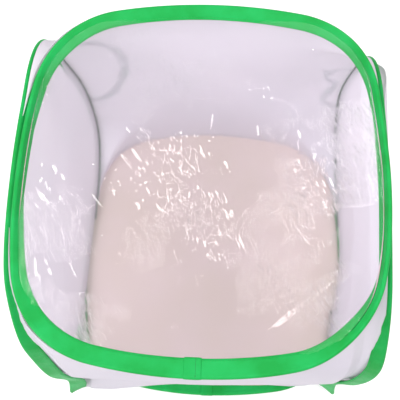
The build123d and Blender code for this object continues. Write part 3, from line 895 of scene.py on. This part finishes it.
# The corner seams' grey is partly painted shade of the seam's fold and partly grey overlock thread.
seam_grey_painted_shade = woven_material(
    "corner_seam_grey_painted_shade", (0.34, 0.38, 0.36), (0.24, 0.29, 0.27), 0.0005, 30.0, 0.8, 0.05,
    on_object=True)
thread_white = woven_material("white_seam_thread", (0.85, 0.85, 0.85), (0.75, 0.76, 0.76), **THREAD)
thread_green = woven_material("green_sewing_thread", (0.015, 0.40, 0.08), (0.004, 0.24, 0.03), **THREAD)
thread_dark = woven_material("dark_lap_thread", (0.004, 0.10, 0.02), (0.002, 0.05, 0.012), **THREAD)
print("Woven finishes:", len(bpy.data.materials))

# %% [markdown]
# The film is glass with a very thin wall. Light passes through it to the inside without
# being bent into patterns, so its alpha is nought for shadow and diffuse rays. Fine
# scratches and crumples that are too small for the mesh are bump, in clusters.
# %% Clear film
film_clear, tree, shader, places = new_material("clear_crumpled_film")
feed(tree, shader, {"Base Color": (0.985, 0.97, 0.99, 1), "Transmission Weight": 1.0, "IOR": 1.38,
                    "Roughness": 0.07})
CREASE_LEAN = math.radians(-62)
CREASE_LONG, CREASE_SHORT = 1 / 380, 1 / 50
lean = place_node(tree, "Mapping", {
    "Vector": places.outputs["Object"], "Rotation": (0, 0, CREASE_LEAN),
    "Scale": (CREASE_SHORT, CREASE_LONG, 1.0)}, vector_type="TEXTURE")
hairs = place_node(tree, "TexNoise", {
    "Vector": lean.outputs[0], "Scale": 1.0, "Detail": 3.0, "Roughness": 0.6})
off_middle = maths(tree, "MULTIPLY", maths(tree, "SUBTRACT", hairs.outputs["Fac"], 0.5), 7.0)
ridge = maths(tree, "POWER", maths(tree, "SUBTRACT", 1.0, maths(tree, "ABSOLUTE", off_middle)), 3.0)
where = use_group(tree, mottle, Vector=places.outputs["Object"], Scale=13.0, Low=0.5, High=0.68)
creases = maths(tree, "MULTIPLY", maths(tree, "MAXIMUM", ridge, 0.0), where.outputs["Mask"])
soft = place_node(tree, "TexNoise", {
    "Vector": places.outputs["Object"], "Scale": 70.0, "Detail": 2.0})
height = maths(tree, "ADD", creases, maths(tree, "MULTIPLY", soft.outputs["Fac"], 0.25))
bump(tree, shader, height, 0.55, 0.0006)
feed(tree, shader, {"Alpha": maths(tree, "SUBTRACT", 1.0, on_rays(tree, "Shadow", "Diffuse"))})
print("Clear film nodes:", len(tree.nodes))

# %% [markdown]
# Metal and moulded parts need less: a colour, a gloss that varies a little, and fine
# bump. The spring steel keeps the blue of its heat treatment, the slider is enamelled.
# %% Steel, crimps, teeth and slider
def hard_material(name, light, deep, metallic, roughness, scale, strength, stretch=(1, 1, 1), coat=0.0):
    """Colour = a mottle's blend of light and deep; the same mottle varies gloss and bump."""
    made, tree, shader, places = new_material(name)
    spread = place_node(tree, "Mapping", {"Vector": places.outputs["Object"], "Scale": stretch})
    mask = use_group(tree, mottle, Vector=spread.outputs[0], Scale=scale).outputs["Mask"]
    rough_range(tree, shader, mask, roughness - 0.07, roughness + 0.1)
    feed(tree, shader, {"Base Color": mix_colors(tree, mask, (*light, 1), (*deep, 1)),
                        "Metallic": metallic, "Coat Weight": coat})
    bump(tree, shader, mask, strength, 0.0001)
    return made


spring_blue = hard_material(
    "blued_spring_steel", (0.30, 0.32, 0.38), (0.20, 0.21, 0.25), 1.0, 0.32, 60.0, 0.2, (1, 1, 6))
crimp_bright = hard_material(
    "crimped_sleeve_steel", (0.62, 0.62, 0.64), (0.48, 0.48, 0.5), 1.0, 0.35, 140.0, 0.25)
teeth_white = hard_material(
    "moulded_zip_teeth", (0.82, 0.81, 0.84), (0.78, 0.77, 0.81), 0.0, 0.3, 220.0, 0.1)
slider_enamel = hard_material(
    "slider_white_enamel", (0.80, 0.80, 0.83), (0.70, 0.70, 0.73), 0.2, 0.25, 180.0, 0.08, coat=0.4)
print("All finishes:", len(bpy.data.materials))

# %% [markdown]
# Each piece gets its finish, its body and the CAD nodes that it stands for. The zip's
# teeth, stops, slider and tapes are shown as the CAD model made them.
# %% Finishes and bodies
def finish_piece(piece, material, body, slot, *replaced):
    """Give a piece its finish and its body, and hide the CAD nodes it stands for; slot is not used."""
    piece.data.materials.clear()
    piece.data.materials.append(material)
    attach(piece, body)
    if replaced:
        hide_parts(*replaced)


BODY = {"floor": "floor", "window": "window", "left": "left_side", "right": "right_side"}
for face, body in BODY.items():
    finish_piece(bindings[face], binding_green, body, "binding_tape", f"{face}_binding")
    finish_piece(hoops[face], spring_blue, body, "spring_steel", f"{face}_hoop")
    finish_piece(sleeves[face], crimp_bright, body, "crimp_metal", f"{face}_hoop_sleeve")
    finish_piece(laps[face], binding_green, body, "binding_tape")
    finish_piece(threads[face], thread_green, body, "binding_tape")
    finish_piece(threads[face + "_lap"], thread_dark, body, "binding_tape")
for face in ("left", "right"):
    finish_piece(sheets[face], white_cloth, BODY[face], "white_cloth", f"{face}_panel")
finish_piece(sheets["floor"], floor_cloth, "floor", "floor_cloth", "floor_panel")
finish_piece(film, film_clear, "window", "clear_film", "window_film")
finish_piece(front_cloth, front_white_painted_shade, "floor", "white_cloth", "front_panel")
finish_piece(rear_cloth, white_cloth, "floor", "white_cloth", "rear_panel")
for (face, *rest), piece in corner_seams.items():
    finish_piece(piece, thread_white if "thread" in rest else seam_grey_painted_shade, BODY[face], "white_cloth")
finish_piece(left_strap, strap_green_painted_light, "left_side", "strap_tape", "left_strap")
finish_piece(right_strap, strap_green_painted_light, "right_side", "strap_tape", "right_strap")

ZIP_FINISH = {"zip_tape": zip_tape_white, "zip_teeth": teeth_white, "zip_end": teeth_white,
              "zip_slider": slider_enamel, "zip_pull": slider_enamel}
for name, node in nodes.items():
    for start, material in ZIP_FINISH.items():
        if name.startswith(start):
            node.data.materials.clear()
            node.data.materials.append(material)
            print(name, "shown as made, in", material.name)

# %% [markdown]
# The end cloths, the side rings with their pieces and corner seams, the left cloth and the window ring's
# pieces each get a mesh of their own.
# %% Pieces with meshes of their own
def ring_pieces(face):
    """Everything that follows a face's hoop."""
    return [kind[face] for kind in (bindings, hoops, sleeves, laps, threads)] + [threads[face + "_lap"]]


for piece in (front_cloth, rear_cloth):
    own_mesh(piece)
for face, x in (("left", -0.2), ("right", 0.2)):
    seams = [piece for key, piece in corner_seams.items() if key[0] == face]
    for piece in ring_pieces(face) + seams:
        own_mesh(piece)
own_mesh(sheets["left"])
for piece in ring_pieces("window"):
    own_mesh(piece)

print("Sheets declared:", len(sheets) + 3)

# %% [markdown]
# The studio is a pale floor and soft lights. The floor is shown white to the camera and
# to reflections, while the light on the cage stays plain. Two small lamps stand just
# outside what the flat film mirrors to the camera, so that only its creases glint.
# %% Studio and camera
def area_lamp(name, place, target, size, power, color=(1, 1, 1)):
    """A soft lamp at a place, turned to look at the target; power is in watts."""
    data = bpy.data.lights.new(name, "AREA")
    data.shape, data.size, data.size_y = "RECTANGLE", *size
    data.energy, data.color = power, color
    lamp = add_object(name, data)
    lamp.location = place
    lamp.rotation_euler = (Vector(target) - Vector(place)).to_track_quat("-Z", "Y").to_euler()


WARM = (1.0, 0.98, 0.93)
WINDOW_PLACE = (0, 0, 0.4)
area_lamp("key_softbox", (-1.5, -1.3, 2.3), (0, 0, 0.2), (1.6, 1.6), 46)
area_lamp("glint_softbox_right", (1.05, 0.95, 2.14), WINDOW_PLACE, (0.6, 0.6), 14, WARM)
area_lamp("glint_softbox_left", (-1.08, 0.16, 2.14), WINDOW_PLACE, (0.5, 0.6), 10, WARM)
area_lamp("fill_softbox", (1.05, -0.65, 2.14), WINDOW_PLACE, (0.7, 0.7), 12, (1.0, 0.98, 0.95))

studio = bpy.data.materials.new("studio_floor_white")
studio.use_nodes = True
tree = studio.node_tree
shader = tree.nodes["Principled BSDF"]
SEEN = ("Camera", "Glossy", "Transmission")
FLOOR_GLOW = 0.22
SKY_LIGHT, SKY_SEEN = 0.55, 0.45
feed(tree, shader, {"Base Color": (0.86, 0.86, 0.86, 1), "Roughness": 0.9, "Specular IOR Level": 0.0,
                    "Emission Color": (1, 1, 1, 1),
                    "Emission Strength": maths(tree, "MULTIPLY", on_rays(tree, *SEEN), FLOOR_GLOW)})
STAGE_HALF, STAGE_LEVEL = 6000, -0.5
reach = np.linspace(-STAGE_HALF, STAGE_HALF, 5)
ground = np.stack(np.meshgrid(reach, reach, [STAGE_LEVEL], indexing="ij"), -1)[:, :, 0]
floor_stage = grid_object("studio_floor", ground)
floor_stage.data.materials.append(studio)

world = bpy.data.worlds.new("studio_sky")
bpy.context.scene.world = world
world.use_nodes = True
tree = world.node_tree
sky = tree.nodes["Background"]
extra = maths(tree, "MULTIPLY", on_rays(tree, *SEEN), SKY_SEEN)
feed(tree, sky, {"Strength": maths(tree, "ADD", extra, SKY_LIGHT), "Color": (1, 1, 1, 1)})

camera_data = bpy.data.cameras.new("camera")
camera = add_object("camera", camera_data)
RIGHT = Vector((0.99858, 0.04387, -0.03016))
DOWN = Vector((0.03284, -0.95352, -0.29954))
AHEAD = Vector((-0.0419, 0.29813, -0.95361))
STAND = (0.03541, -0.2961, 1.28193)
turn = Matrix((RIGHT, -DOWN, -AHEAD)).transposed()
camera.matrix_world = Matrix.Translation(STAND) @ turn.to_4x4()
camera_data.sensor_width, camera_data.lens, camera_data.shift_x = 36.0, 79.17, 0.00688
bpy.context.scene.camera = camera
bpy.context.scene.view_settings.view_transform = "Standard"
